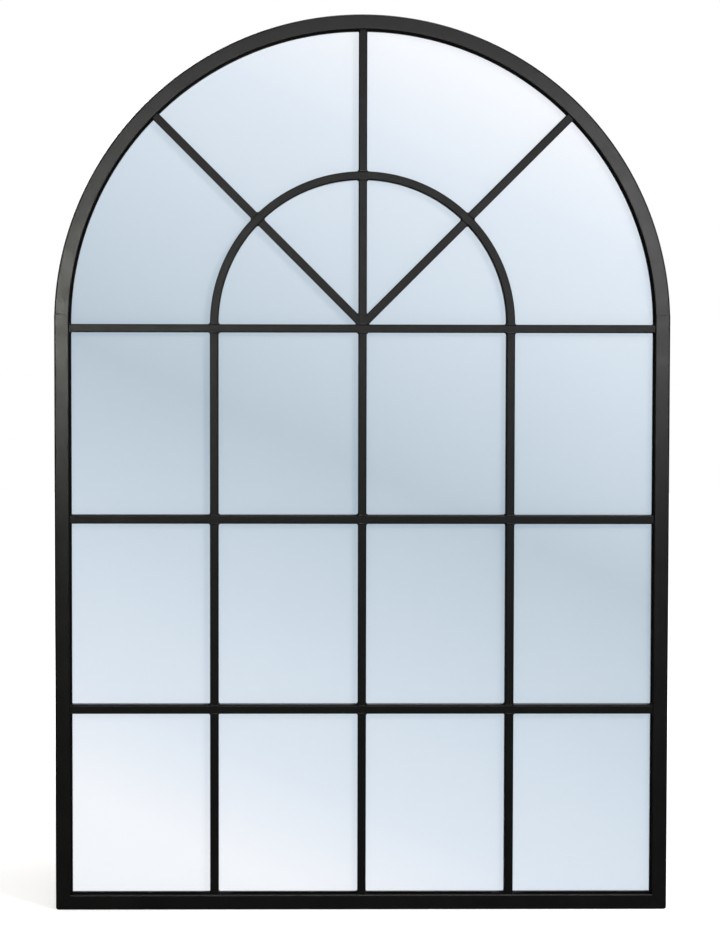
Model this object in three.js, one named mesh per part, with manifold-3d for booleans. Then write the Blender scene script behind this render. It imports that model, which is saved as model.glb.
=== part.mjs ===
// An arched window mirror: a welded frame of square steel tube with a half-round top, a lattice of
// thinner square bars in front of one sheet of mirror glass, and a fanlight of spokes above it.
// X runs to the right, the front faces -Y and Z is up. The origin is the middle of the bottom
// rail's underside, half way through the depth of the frame tube. Lengths are in millimetres.

import * as THREE from "three";
import { mergeVertices } from "three/addons/utils/BufferGeometryUtils.js";
import Module from "manifold-3d";

// Outer size and the pattern of panes.
const overallWidth = 820;
const overallHeight = 1195;
const paneColumns = 4;
const paneRows = 3;
const hoopColumns = 1; // pane columns from the middle to the upright bars that carry the hoop
const fanAngles = [45, 90, 135]; // degrees, of the spokes round the middle of the arch

// Square tube of the outer frame.
const frameTube = 20;
const frameWall = 1.5;
const frameCorner = 2;
const groundCorner = 3; // radius ground on the outer lower corners after welding
const seamRise = 13; // the butt joint of arch and stile, above the spring line

// Square tube of the bars, hoop and spokes.
const barTube = 11;
const barWall = 1;
const barCorner = 1.2;

// Glass, its backing board, and what they stand on.
const glassThick = 4;
const boardThick = 3;
const glassClear = 1.5; // round the glass, and the thickness of the setting blocks
const boardClear = 1;
const blockLength = 40;

// Clips that hold the board, and the pan head screws of the clips and hangers.
const clipsPerStile = 2;
const clipsPerRail = 2;
const clipsPerArch = 3;
const clipWidth = 12;
const clipThick = 1.2;
const clipTail = 7; // from the screw to the clip's outer end
const clipReach = 24; // from the screw to the end over the board
const screwShank = 3;
const screwLength = 8;
const headWidth = 6;
const headHeight = 1.8;

// Strap hangers with a rolled eye, and the D rings that swing in the eyes.
const strapWidth = 11;
const strapThick = 1.2;
const strapTail = 6; // below the lower screw
const strapDrop = 95; // from the spring line down to the eye
const screwPitch = 15;
const curlEnd = -110; // degrees round the eye where the curl stops, with 0 straight back
const ringWire = 3;
const ringWidth = 19; // outside
const ringSide = 6; // straight part of each side of the D
const ringBend = 3; // centre line radius of the D's two corners
const ringStart = 1; // of the D's butt joint, from the middle of its straight bar

// Rubber wall bumpers behind the lower corners.
const bumperWidth = 16;
const bumperFlat = 12;
const bumperRise = 34; // above the underside

// Clearances.
const weldGap = 0.3; // root gap between welded pieces, which the weld bead fills
const runGap = 0.3; // round a shank in its hole and the ring's wire in its eye

// Facets of each kind of curve.
const archSteps = 48;
const hoopSteps = 32;
const ringSteps = 32;
const cornerFacets = 2;
const curlFacets = 12;
const groundFacets = 4;
const wireSides = 8;
const holeSides = 10;
const roundSides = 16;

const sides = [["left", -1], ["right", 1]];

// Worked out from the sizes above.
const archRadius = overallWidth / 2;
const springHeight = overallHeight - archRadius;
const frameBack = frameTube / 2;
const frameMiddle = archRadius - frameTube / 2; // from the centre line to the tube's middle
const frameInside = archRadius - frameTube;
const columnPitch = (2 * frameInside + barTube) / paneColumns;
const rowPitch = (springHeight - frameTube) / paneRows;
const paneHigh = rowPitch - barTube;
const glassBack = frameBack - boardThick;
const glassFront = glassBack - glassThick;
const barMiddle = glassFront - barTube / 2;
const hoopRadius = (hoopColumns + (paneColumns % 2) / 2) * columnPitch;
const hoopInside = hoopRadius - barTube / 2;
const hoopOutside = hoopRadius + barTube / 2;
const holeRadius = screwShank / 2 + runGap;
const eyeInside = ringWire / 2 + runGap;
const eyeOutside = eyeInside + strapThick;
const ringHalf = (ringWidth - ringWire) / 2; // centre line
const ringLength = ringSide + ringBend + ringHalf; // centre line, from the bar to the bow
const upperScrew = ringLength + ringWire / 2 + headWidth; // below the eye, clear of the ring
const lowerScrew = upperScrew + screwPitch;
const eyeHeight = springHeight - strapDrop;
const bumperThick = 2 * eyeOutside; // as deep as the eyes, so that the mirror hangs parallel

// Finishes.
const blackSteel = new THREE.MeshStandardMaterial({ color: 0x1e1f1d, roughness: 0.45, metalness: 0.3 });
const silveredGlass = new THREE.MeshStandardMaterial({ color: 0xdfe7ee, roughness: 0.03, metalness: 1 });
const brownBoard = new THREE.MeshStandardMaterial({ color: 0x6b5138, roughness: 0.9 });
const zincSteel = new THREE.MeshStandardMaterial({ color: 0xa9adb0, roughness: 0.35, metalness: 1 });
const blackRubber = new THREE.MeshStandardMaterial({ color: 0x141414, roughness: 0.8 });

const wasm = await Module();
wasm.setup();

// A closed three.js geometry as a solid that can be cut.
function solidOf(geometry) {
  const bare = geometry.index ? geometry.toNonIndexed() : geometry.clone();
  bare.deleteAttribute("normal");
  bare.deleteAttribute("uv");
  const merged = mergeVertices(bare, 1e-4);
  const triVerts = new Uint32Array(merged.index.array);
  return new wasm.Manifold(
    new wasm.Mesh({ numProp: 3, vertProperties: merged.attributes.position.array, triVerts }),
  );
}

// A cut solid as a three.js geometry with flat faces.
function geometryOf(solid) {
  const mesh = solid.getMesh();
  const indexed = new THREE.BufferGeometry();
  indexed.setAttribute("position", new THREE.BufferAttribute(mesh.vertProperties, 3));
  indexed.setIndex(new THREE.BufferAttribute(mesh.triVerts, 1));
  const flat = indexed.toNonIndexed();
  flat.computeVertexNormals();
  return flat;
}

function cut(geometry, ...cutters) {
  return geometryOf(cutters.reduce((left, cutter) => left.subtract(solidOf(cutter)), solidOf(geometry)));
}

function named(name, geometry, material, x = 0, y = 0, z = 0) {
  const mesh = new THREE.Mesh(geometry, material);
  mesh.name = name;
  mesh.position.set(x, y, z);
  return mesh;
}

function groupAt(x, y, z) {
  const group = new THREE.Group();
  group.position.set(x, y, z);
  return group;
}

// The section of a square tube with rounded outer corners, about its own middle.
function tubeSection(side, wall, corner) {
  const half = side / 2;
  const centre = half - corner;
  const bore = half - wall;
  const section = new THREE.Shape();
  section.absarc(centre, centre, corner, 0, Math.PI / 2);
  section.absarc(-centre, centre, corner, Math.PI / 2, Math.PI);
  section.absarc(-centre, -centre, corner, Math.PI, 1.5 * Math.PI);
  section.absarc(centre, -centre, corner, 1.5 * Math.PI, 2 * Math.PI);
  section.closePath();
  const hollow = new THREE.Path();
  hollow.moveTo(-bore, -bore);
  hollow.lineTo(-bore, bore);
  hollow.lineTo(bore, bore);
  hollow.lineTo(bore, -bore);
  hollow.closePath();
  section.holes.push(hollow);
  return section;
}

const frameSection = tubeSection(frameTube, frameWall, frameCorner);
const barSection = tubeSection(barTube, barWall, barCorner);

// A drawn outline as a solid that runs up local Z, with a number of facets to each arc in it.
// An arc gets two facets for each of the curve segments.
function extrude(outline, depth, facets) {
  const options = { depth, bevelEnabled: false, curveSegments: facets / 2 };
  return new THREE.ExtrudeGeometry(outline, options);
}

// A straight tube that runs up local Z from `low` to `high`.
function straightTube(section, low, high) {
  return extrude(section, high - low, cornerFacets).translate(0, 0, low);
}

// A flat path, drawn as x and height, stood up in the XZ plane.
class UprightCurve extends THREE.Curve {
  constructor(path) {
    super();
    this.path = path;
  }
  getPoint(t, target = new THREE.Vector3()) {
    const point = this.path.getPoint(t);
    return target.set(point.x, 0, point.y);
  }
}

function sweep(section, facets, path, steps) {
  const options = { steps, curveSegments: facets / 2, extrudePath: new UprightCurve(path) };
  return new THREE.ExtrudeGeometry(section, options);
}

function halfRound(section, radius, steps) {
  const path = new THREE.Path();
  path.absarc(0, 0, radius, 0, Math.PI);
  return sweep(section, cornerFacets, path, steps);
}

// A flat plate, its outline drawn as x and height, between two depths.
function plate(outline, front, back, facets = 1) {
  return extrude(outline, back - front, facets).rotateX(Math.PI / 2).translate(0, back, 0);
}

// A block from its low and high corners.
function block(x0, y0, z0, x1, y1, z1) {
  const box = new THREE.BoxGeometry(x1 - x0, y1 - y0, z1 - z0);
  return box.translate((x0 + x1) / 2, (y0 + y1) / 2, (z0 + z1) / 2);
}

// A screw hole through the tube's back wall, or through a strip that lies on it.
function screwHole(x, z) {
  const depth = 2 * (frameWall + clipThick + strapThick);
  return new THREE.CylinderGeometry(holeRadius, holeRadius, depth, holeSides).translate(x, frameBack, z);
}

// Where the clips stand: a point on the middle of the tube and the way towards the glass.
function clipPlaces() {
  const places = [];
  for (let i = 0; i < clipsPerStile; i++) {
    const z = (springHeight * (i + 0.5)) / clipsPerStile;
    places.push({ name: `left_${i + 1}`, tube: "left", x: -frameMiddle, z, inX: 1, inZ: 0 });
    places.push({ name: `right_${i + 1}`, tube: "right", x: frameMiddle, z, inX: -1, inZ: 0 });
  }
  for (let i = 0; i < clipsPerRail; i++) {
    const x = 2 * archRadius * ((i + 0.5) / clipsPerRail - 0.5);
    places.push({ name: `bottom_${i + 1}`, tube: "rail", x, z: frameTube / 2, inX: 0, inZ: 1 });
  }
  for (let i = 0; i < clipsPerArch; i++) {
    const angle = (Math.PI * (i + 1)) / (clipsPerArch + 1);
    const inX = -Math.cos(angle);
    const inZ = -Math.sin(angle);
    const z = springHeight - frameMiddle * inZ;
    places.push({ name: `arch_${i + 1}`, tube: "arch", x: -frameMiddle * inX, z, inX, inZ });
  }
  return places;
}

const clips = clipPlaces();
const hangerScrews = [eyeHeight - upperScrew, eyeHeight - lowerScrew];

function holesIn(tube) {
  return clips.filter((place) => place.tube === tube).map((place) => screwHole(place.x, place.z));
}

// The stiles and the bottom rail, mitred at the lower corners, and the rolled arch.
function outerFrame() {
  const group = new THREE.Group();
  const far = frameTube; // how far a cutter stands past the tube's faces
  const mitreShift = weldGap / Math.SQRT2; // half the gap, measured along the rail
  for (const [tube, side] of sides) {
    const mitre = new THREE.Shape();
    mitre.moveTo(side * (archRadius + far), -far);
    mitre.lineTo(side * (frameInside - far - mitreShift), -far);
    mitre.lineTo(side * (frameInside - far - mitreShift), frameTube + far);
    mitre.closePath();
    const top = springHeight + seamRise - weldGap;
    const upright = straightTube(frameSection, 0, top).translate(side * frameMiddle, 0, 0);
    const holes = hangerScrews.map((z) => screwHole(side * frameMiddle, z));
    const cutters = [plate(mitre, -far, far), cornerCutter(side), ...holesIn(tube), ...holes];
    group.add(named(`${tube}_stile`, cut(upright, ...cutters), blackSteel));
  }
  const ends = [-1, 1].map((side) => {
    const mitre = new THREE.Shape();
    mitre.moveTo(side * (archRadius + far - mitreShift), -far);
    mitre.lineTo(side * (archRadius + far - mitreShift), frameTube + far);
    mitre.lineTo(side * (frameInside - far - mitreShift), frameTube + far);
    mitre.closePath();
    return plate(mitre, -far, far);
  });
  const rail = straightTube(frameSection, -archRadius, archRadius);
  rail.rotateY(Math.PI / 2).translate(0, 0, frameTube / 2);
  const cutters = [...ends, cornerCutter(-1), cornerCutter(1), ...holesIn("rail")];
  group.add(named("bottom_rail", cut(rail, ...cutters), blackSteel));

  const arch = halfRound(frameSection, frameMiddle, archSteps).translate(0, 0, springHeight);
  const foot = springHeight + seamRise;
  const below = block(-archRadius - far, -far, springHeight - far, archRadius + far, far, foot);
  group.add(named("arch_tube", cut(arch, below, ...holesIn("arch")), blackSteel));
  return group;
}

// What the grinder takes off an outer lower corner.
function cornerCutter(side) {
  const centre = archRadius - groundCorner;
  const off = new THREE.Shape();
  off.moveTo(centre, 0);
  off.absarc(centre, groundCorner, groundCorner, -Math.PI / 2, 0);
  off.lineTo(archRadius + groundCorner, groundCorner);
  off.lineTo(archRadius + groundCorner, -groundCorner);
  off.lineTo(centre, -groundCorner);
  off.closePath();
  const cutter = plate(off, -frameTube, frameTube, groundFacets);
  return side > 0 ? cutter : cutter.rotateZ(Math.PI);
}

// Horizontal bars in one length, and short upright bars between them.
function lattice() {
  const group = groupAt(0, barMiddle, 0);
  const end = frameInside - weldGap;
  for (let row = 1; row <= paneRows; row++) {
    const top = springHeight - (row - 1) * rowPitch;
    const bar = straightTube(barSection, -end, end).rotateY(Math.PI / 2);
    group.add(named(`bar_row_${row}`, bar, blackSteel, 0, 0, top - barTube / 2));
    for (let column = 1; column < paneColumns; column++) {
      const x = (column - paneColumns / 2) * columnPitch;
      const upright = straightTube(barSection, weldGap, paneHigh - weldGap);
      group.add(named(`bar_r${row}_c${column}`, upright, blackSteel, x, 0, top - rowPitch));
    }
  }
  return group;
}

// The inner hoop and the spokes, about the middle of the arch.
function fanlight() {
  const group = groupAt(0, barMiddle, springHeight);
  const far = 2 * barTube;
  const under = block(-hoopOutside - far, -far, -far, hoopOutside + far, far, weldGap);
  group.add(named("inner_hoop", cut(halfRound(barSection, hoopRadius, hoopSteps), under), blackSteel));

  // The corners of a square-cut end meet a round face before its middle does.
  const endInside = (radius) => Math.sqrt((radius - weldGap) ** 2 - (barTube / 2) ** 2);
  const post = barTube / 2 + weldGap;
  const upright = block(-post, -far, -far, post, far, hoopInside);
  fanAngles.forEach((angle, i) => {
    const lean = THREE.MathUtils.degToRad(90 - angle);
    const leaning = Math.abs(lean) > 1e-6;
    const start = leaning ? 0 : weldGap;
    let inner = straightTube(barSection, start, endInside(hoopInside)).rotateY(lean);
    if (leaning) inner = cut(inner, upright, under);
    group.add(named(`spoke_inner_${i + 1}`, inner, blackSteel));
    const outer = straightTube(barSection, hoopOutside + weldGap, endInside(frameInside));
    group.add(named(`spoke_outer_${i + 1}`, outer.rotateY(lean), blackSteel));
  });
  return group;
}

// The outline of the opening in the frame, drawn in by a clearance.
function openingOutline(clear) {
  const half = frameInside - clear;
  const outline = new THREE.Shape();
  outline.moveTo(-half, frameTube + clear);
  outline.lineTo(half, frameTube + clear);
  outline.absarc(0, springHeight, half, 0, Math.PI);
  outline.closePath();
  return outline;
}

function glazing() {
  const group = new THREE.Group();
  const glass = plate(openingOutline(glassClear), glassFront, glassBack, archSteps);
  group.add(named("mirror_glass", glass, silveredGlass));
  const board = plate(openingOutline(boardClear), glassBack, frameBack, archSteps);
  group.add(named("backing_board", board, brownBoard));
  for (const [name, side] of sides) {
    const low = frameTube;
    const seat = block(-blockLength / 2, glassFront, low, blockLength / 2, glassBack, low + glassClear);
    group.add(named(`setting_block_${name}`, seat, blackRubber, (side * frameInside) / 2));
  }
  return group;
}

// A pan head screw along Y: its head stands behind y = 0 and its shank runs forward.
function screwGeometry() {
  const head = headWidth / 2;
  const profile = [
    [0, -screwLength],
    [screwShank / 2, -screwLength + screwShank / 2],
    [screwShank / 2, 0],
    [head, 0],
    [head, headHeight / 2],
    [head / 2, headHeight],
    [0, headHeight],
  ];
  return new THREE.LatheGeometry(profile.map(([r, y]) => new THREE.Vector2(r, y)), holeSides);
}

// Each clip is a strip with one round end over the board; its screw goes into the tube.
function boardClips() {
  const group = new THREE.Group();
  const half = clipWidth / 2;
  const strip = new THREE.Shape();
  strip.moveTo(-half, -clipTail);
  strip.lineTo(half, -clipTail);
  strip.absarc(0, clipReach - half, half, 0, Math.PI);
  strip.closePath();
  for (const place of clips) {
    const clip = groupAt(place.x, frameBack, place.z);
    clip.rotation.y = Math.atan2(place.inX, place.inZ);
    const hole = screwHole(0, 0).translate(0, -frameBack, 0);
    const flat = cut(plate(strip, 0, clipThick, curlFacets), hole);
    clip.add(named(`clip_${place.name}`, flat, zincSteel));
    clip.add(named(`clip_screw_${place.name}`, screwGeometry(), zincSteel, 0, clipThick, 0));
    group.add(clip);
  }
  return group;
}

// The strap from the side: y away from the stile, z up, with the eye's middle at z = 0.
function strapGeometry() {
  const curl = THREE.MathUtils.degToRad(curlEnd);
  const low = -lowerScrew - strapTail;
  const side = new THREE.Shape();
  side.moveTo(0, low);
  side.lineTo(strapThick, low);
  side.absarc(eyeOutside, 0, eyeInside, Math.PI, curl, true);
  side.absarc(eyeOutside, 0, eyeOutside, curl, Math.PI, false);
  side.closePath();
  const strap = extrude(side, strapWidth, curlFacets).translate(0, 0, -strapWidth / 2);
  const turn = new THREE.Matrix4().makeBasis(
    new THREE.Vector3(0, 1, 0),
    new THREE.Vector3(0, 0, 1),
    new THREE.Vector3(1, 0, 0),
  );
  const holes = [upperScrew, lowerScrew].map((drop) => screwHole(0, -drop).translate(0, -frameBack, 0));
  return cut(strap.applyMatrix4(turn), ...holes);
}

// The D ring hangs from its straight bar, whose butt joint is hidden in the eye.
function ringGeometry() {
  const corner = ringHalf - ringBend;
  const bow = -ringBend - ringSide;
  const path = new THREE.Path();
  path.moveTo(ringStart + weldGap, 0);
  path.lineTo(corner, 0);
  path.absarc(corner, -ringBend, ringBend, Math.PI / 2, 0, true);
  path.lineTo(ringHalf, bow);
  path.absarc(0, bow, ringHalf, 0, -Math.PI, true);
  path.lineTo(-ringHalf, -ringBend);
  path.absarc(-corner, -ringBend, ringBend, Math.PI, Math.PI / 2, true);
  path.lineTo(ringStart, 0);
  const wire = new THREE.Shape();
  wire.absarc(0, 0, ringWire / 2, 0, 2 * Math.PI);
  return sweep(wire, wireSides, path, ringSteps);
}

function hangers() {
  const group = groupAt(0, frameBack, eyeHeight);
  for (const [name, side] of sides) {
    const hanger = groupAt(side * frameMiddle, 0, 0);
    hanger.add(named(`hanger_strap_${name}`, strapGeometry(), zincSteel));
    hanger.add(named(`hanger_ring_${name}`, ringGeometry(), zincSteel, 0, eyeOutside, 0));
    [upperScrew, lowerScrew].forEach((drop, i) => {
      const screw = named(`hanger_screw_${name}_${i + 1}`, screwGeometry(), zincSteel);
      screw.position.set(0, strapThick, -drop);
      hanger.add(screw);
    });
    group.add(hanger);
  }
  return group;
}

// Rubber buttons with a flat back that rests on the wall.
function bumpers() {
  const group = groupAt(0, frameBack, bumperRise);
  const edge = bumperWidth / 2;
  const flat = bumperFlat / 2;
  const round = edge - flat;
  const profile = [new THREE.Vector2(0, 0), new THREE.Vector2(edge, 0)];
  for (let i = 0; i <= cornerFacets; i++) {
    const turn = ((Math.PI / 2) * i) / cornerFacets;
    const y = bumperThick - round + round * Math.sin(turn);
    profile.push(new THREE.Vector2(flat + round * Math.cos(turn), y));
  }
  profile.push(new THREE.Vector2(0, bumperThick));
  for (const [name, side] of sides) {
    const button = new THREE.LatheGeometry(profile, roundSides);
    group.add(named(`wall_bumper_${name}`, button, blackRubber, side * frameMiddle));
  }
  return group;
}

const archedWindowMirror = new THREE.Group();
archedWindowMirror.add(outerFrame(), lattice(), fanlight(), glazing(), boardClips(), hangers(), bumpers());

export default archedWindowMirror;
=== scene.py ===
import math

import bmesh
import bpy
from mathutils import Matrix, Vector


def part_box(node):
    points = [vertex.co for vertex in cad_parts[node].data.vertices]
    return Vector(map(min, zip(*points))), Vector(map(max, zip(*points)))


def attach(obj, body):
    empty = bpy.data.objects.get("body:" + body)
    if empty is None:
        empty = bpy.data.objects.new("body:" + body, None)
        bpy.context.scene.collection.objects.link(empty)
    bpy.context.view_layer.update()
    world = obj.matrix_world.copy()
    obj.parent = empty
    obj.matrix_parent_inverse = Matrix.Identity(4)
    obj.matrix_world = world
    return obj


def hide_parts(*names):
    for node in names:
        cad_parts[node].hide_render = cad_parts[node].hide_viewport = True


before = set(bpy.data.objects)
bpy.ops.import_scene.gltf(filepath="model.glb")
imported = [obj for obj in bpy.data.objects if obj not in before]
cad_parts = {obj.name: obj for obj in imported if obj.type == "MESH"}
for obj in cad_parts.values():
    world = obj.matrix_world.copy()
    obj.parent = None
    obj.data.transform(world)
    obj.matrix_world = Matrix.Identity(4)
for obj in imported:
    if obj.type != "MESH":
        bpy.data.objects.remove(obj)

# An arched window mirror: black powder-coated square tube, one silvered glass behind the bars,
# a hardboard back held by spring clips, strap hangers with D rings, and rubber wall bumpers.
# Metres, X to the right, the front faces -Y, Z up, the underside of the bottom rail at z = 0.

scene = bpy.context.scene
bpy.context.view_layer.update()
mm = 0.001
xWay, yWay, zWay = Vector((1, 0, 0)), Vector((0, 1, 0)), Vector((0, 0, 1))

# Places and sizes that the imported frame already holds.
archLow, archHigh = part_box("arch_tube")
railLow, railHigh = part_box("bottom_rail")
rowLow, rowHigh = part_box("bar_row_1")
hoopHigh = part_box("inner_hoop")[1]
glassLow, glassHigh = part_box("mirror_glass")
boardLow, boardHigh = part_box("backing_board")
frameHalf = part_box("right_stile")[1].x
frameTube = railHigh.z - railLow.z
frameMiddle = frameHalf - frameTube / 2  # from the centre line to the middle of a stile
frameInside = frameHalf - frameTube
frameBack = railHigh.y
springHeight = archHigh.z - frameHalf
seamHeight = archLow.z
barTube = rowHigh.y - rowLow.y
barMiddle = (rowLow.y + rowHigh.y) / 2
barFront = rowLow.y
hoopRadius = hoopHigh.x - barTube / 2


def colour(hexCode, alpha=1.0):  # sRGB hex to the linear colour that Blender works in
    channels = [int(hexCode[i:i + 2], 16) / 255 for i in (1, 3, 5)]
    linear = [c / 12.92 if c <= 0.04045 else ((c + 0.055) / 1.055) ** 2.4 for c in channels]
    return (*linear, alpha)


def addNode(tree, kind, inputs=None, **settings):  # a node, its settings and what feeds its inputs
    node = tree.nodes.new(kind)
    for name, value in settings.items():
        setattr(node, name, value)
    for socket, value in (inputs or {}).items():
        if isinstance(value, bpy.types.NodeSocket):
            tree.links.new(value, node.inputs[socket])
        else:
            node.inputs[socket].default_value = value
    return node


def setStops(ramp, stops):  # stops: (place, hex colour)
    elements = ramp.color_ramp.elements
    while len(elements) > 1:
        elements.remove(elements[-1])
    elements[0].position, elements[0].color = stops[0][0], colour(stops[0][1])
    for place, hexCode in stops[1:]:
        elements.new(place).color = colour(hexCode)


def startMaterial(name):  # a material, its tree, its shader and the piece's own coordinates
    material = bpy.data.materials.new(name)
    material.use_nodes = True
    tree = material.node_tree
    place = addNode(tree, "ShaderNodeTexCoord").outputs["Object"]
    return material, tree, tree.nodes["Principled BSDF"], place


def startTree(name, inputs):  # a Geometry Nodes tree and the node that gives its named inputs
    tree = bpy.data.node_groups.new(name, "GeometryNodeTree")
    for label, kind in (("Geometry", "Geometry"), *inputs):
        tree.interface.new_socket(label, in_out="INPUT", socket_type="NodeSocket" + kind)
    tree.interface.new_socket("Geometry", in_out="OUTPUT", socket_type="NodeSocketGeometry")
    return tree, addNode(tree, "NodeGroupInput")


cameraView = {
    "place": (-0.0722, -4.0025, 0.8087),
    "pitchDown": 3.002,
    "yawRight": 0.989,
    "roll": 0.115,
    "lens": 116.38,
    "sensor": 36.0,
}


def makeCamera(view):
    pitch, yaw, roll = (math.radians(view[name]) for name in ("pitchDown", "yawRight", "roll"))
    level = math.cos(pitch)
    forward = Vector((math.sin(yaw) * level, math.cos(yaw) * level, -math.sin(pitch)))
    right = Vector((math.cos(yaw), -math.sin(yaw), 0))
    up = right.cross(forward)
    rolledRight = right * math.cos(roll) + up * math.sin(roll)
    rolledUp = up * math.cos(roll) - right * math.sin(roll)
    data = bpy.data.cameras.new("camera")
    data.lens = view["lens"]
    data.sensor_width = view["sensor"]
    camera = bpy.data.objects.new("camera", data)
    turn = Matrix((rolledRight, rolledUp, -forward)).transposed().to_4x4()
    camera.matrix_world = Matrix.Translation(view["place"]) @ turn
    scene.collection.objects.link(camera)
    scene.camera = camera


makeCamera(cameraView)
scene.view_settings.view_transform = "Standard"
print("camera placed")


powderCoat = {
    "dark": "#070807",
    "light": "#0D0D0C",
    "orangePeel": 2.6 * mm,  # width of one dimple
    "dimpleDepth": 0.12 * mm,
    "cloud": 35 * mm,  # width of the slow changes in shade
    "tubeRough": (0.28, 0.34),
    "barRough": (0.34, 0.39),
    "tubeGloss": 0.47,
    "barGloss": 0.28,
}


def powderCoated(name, roughness, gloss):
    # Powder coat, sprayed and baked over welded steel: a soft black sheen broken by fine orange peel.
    coat, tree, shader, place = startMaterial(name)
    cloud = addNode(tree, "ShaderNodeTexNoise",
                    {"Vector": place, "Scale": 1 / powderCoat["cloud"], "Detail": 3.0,
                     "Roughness": 0.6})
    peel = addNode(tree, "ShaderNodeTexNoise",
                   {"Vector": place, "Scale": 1 / powderCoat["orangePeel"], "Detail": 2.0})
    grit = addNode(tree, "ShaderNodeTexNoise",
                   {"Vector": place, "Scale": 3 / powderCoat["orangePeel"], "Detail": 2.0,
                    "Roughness": 0.7})
    mix = addNode(tree, "ShaderNodeMix", {0: cloud.outputs["Fac"], 6: colour(powderCoat["dark"]),
                                          7: colour(powderCoat["light"])}, data_type="RGBA")
    tree.links.new(mix.outputs[2], shader.inputs["Base Color"])
    rough = addNode(tree, "ShaderNodeMapRange", {"Value": cloud.outputs["Fac"], "From Min": 0.3,
                                                 "From Max": 0.7, "To Min": roughness[0],
                                                 "To Max": roughness[1]})
    tree.links.new(rough.outputs["Result"], shader.inputs["Roughness"])
    shader.inputs["Specular IOR Level"].default_value = gloss
    height = addNode(tree, "ShaderNodeMath",
                     {0: grit.outputs["Fac"], 1: 0.5, 2: peel.outputs["Fac"]},
                     operation="MULTIPLY_ADD")
    bump = addNode(tree, "ShaderNodeBump", {"Strength": 0.5, "Distance": powderCoat["dimpleDepth"],
                                            "Height": height.outputs[0]})
    tree.links.new(bump.outputs["Normal"], shader.inputs["Normal"])
    return coat


floatGlass = {"tint": "#FBFCFF", "clear": 0.88, "filmUneven": 0.01, "filmWidth": 180 * mm}


def clearGlass():
    # Float glass, 4 mm, wiped but not spotless: a thin film takes the soft shadow beside each bar.
    glass, tree, shader, place = startMaterial("clear_float_glass")
    film = addNode(tree, "ShaderNodeTexNoise",
                   {"Vector": place, "Scale": 1 / floatGlass["filmWidth"], "Detail": 2.0})
    clear = addNode(tree, "ShaderNodeMapRange",
                    {"Value": film.outputs["Fac"],
                     "To Min": floatGlass["clear"] - floatGlass["filmUneven"],
                     "To Max": floatGlass["clear"] + floatGlass["filmUneven"]})
    inside = addNode(tree, "ShaderNodeNewGeometry").outputs["Backfacing"]  # the film lies outside only
    glancing = addNode(tree, "ShaderNodeLightPath").outputs["Is Glossy Ray"]  # and satin steel skips it
    either = addNode(tree, "ShaderNodeMath", {0: inside, 1: glancing}, operation="MAXIMUM")
    passed = addNode(tree, "ShaderNodeMath", {0: clear.outputs["Result"], 1: either.outputs[0]},
                     operation="MAXIMUM")
    tree.links.new(passed.outputs[0], shader.inputs["Transmission Weight"])
    shader.inputs["Base Color"].default_value = colour(floatGlass["tint"])
    shader.inputs["Roughness"].default_value = 0.0
    shader.inputs["IOR"].default_value = 1.52
    return glass


def mirrorSilver():
    # Chemically deposited silver under the glass: a clean, slightly cool reflection.
    silver = bpy.data.materials.new("mirror_silver")
    silver.use_nodes = True
    shader = silver.node_tree.nodes["Principled BSDF"]
    shader.inputs["Base Color"].default_value = colour("#FAFCFF")
    shader.inputs["Metallic"].default_value = 1.0
    shader.inputs["Roughness"].default_value = 0.0
    return silver


edgeLacquer = {"dark": "#0C100F", "pale": "#1B2220", "streak": 3 * mm}


def sealedEdge():
    # Edge sealer brushed round the ground edge of the mirror: a dull green black, a little streaky.
    lacquer, tree, shader, place = startMaterial("brushed_edge_sealer")
    streak = addNode(tree, "ShaderNodeTexNoise", {"Vector": place, "Scale": 1 / edgeLacquer["streak"],
                                                  "Detail": 3.0})
    tint = addNode(tree, "ShaderNodeMix", {0: streak.outputs["Fac"], 6: colour(edgeLacquer["dark"]),
                                           7: colour(edgeLacquer["pale"])}, data_type="RGBA")
    tree.links.new(tint.outputs[2], shader.inputs["Base Color"])
    rough = addNode(tree, "ShaderNodeMapRange", {"Value": streak.outputs["Fac"], "To Min": 0.5,
                                                 "To Max": 0.8})
    tree.links.new(rough.outputs["Result"], shader.inputs["Roughness"])
    return lacquer


zincPlate = {"pale": "#C4C8CC", "dull": "#9A9EA3", "grain": 1.1 * mm, "depth": 0.05 * mm}


def brightZinc():
    # Bright zinc plate on pressed steel: a cool grey shine, mottled by the tumbling barrel.
    zinc, tree, shader, place = startMaterial("bright_zinc_plate")
    mottle = addNode(tree, "ShaderNodeTexVoronoi", {"Vector": place, "Scale": 1 / zincPlate["grain"]},
                     feature="SMOOTH_F1")
    haze = addNode(tree, "ShaderNodeTexNoise", {"Vector": place, "Scale": 0.12 / zincPlate["grain"],
                                                "Detail": 4.0})
    tint = addNode(tree, "ShaderNodeMix", {0: haze.outputs["Fac"], 6: colour(zincPlate["dull"]),
                                           7: colour(zincPlate["pale"])}, data_type="RGBA")
    tree.links.new(tint.outputs[2], shader.inputs["Base Color"])
    shader.inputs["Metallic"].default_value = 1.0
    rough = addNode(tree, "ShaderNodeMapRange", {"Value": mottle.outputs["Distance"],
                                                 "To Min": 0.26, "To Max": 0.46})
    tree.links.new(rough.outputs["Result"], shader.inputs["Roughness"])
    bump = addNode(tree, "ShaderNodeBump", {"Strength": 0.25, "Distance": zincPlate["depth"],
                                            "Height": mottle.outputs["Distance"]})
    tree.links.new(bump.outputs["Normal"], shader.inputs["Normal"])
    return zinc


hardboard = {
    "dark": "#4A3726",
    "mid": "#6B523C",
    "pale": "#92765A",
    "fibre": 0.9 * mm,
    "fleck": 2.4 * mm,
    "patch": 70 * mm,
    "swirl": 4 * mm,  # how far the fibres wander
    "depth": 0.1 * mm,
}


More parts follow.
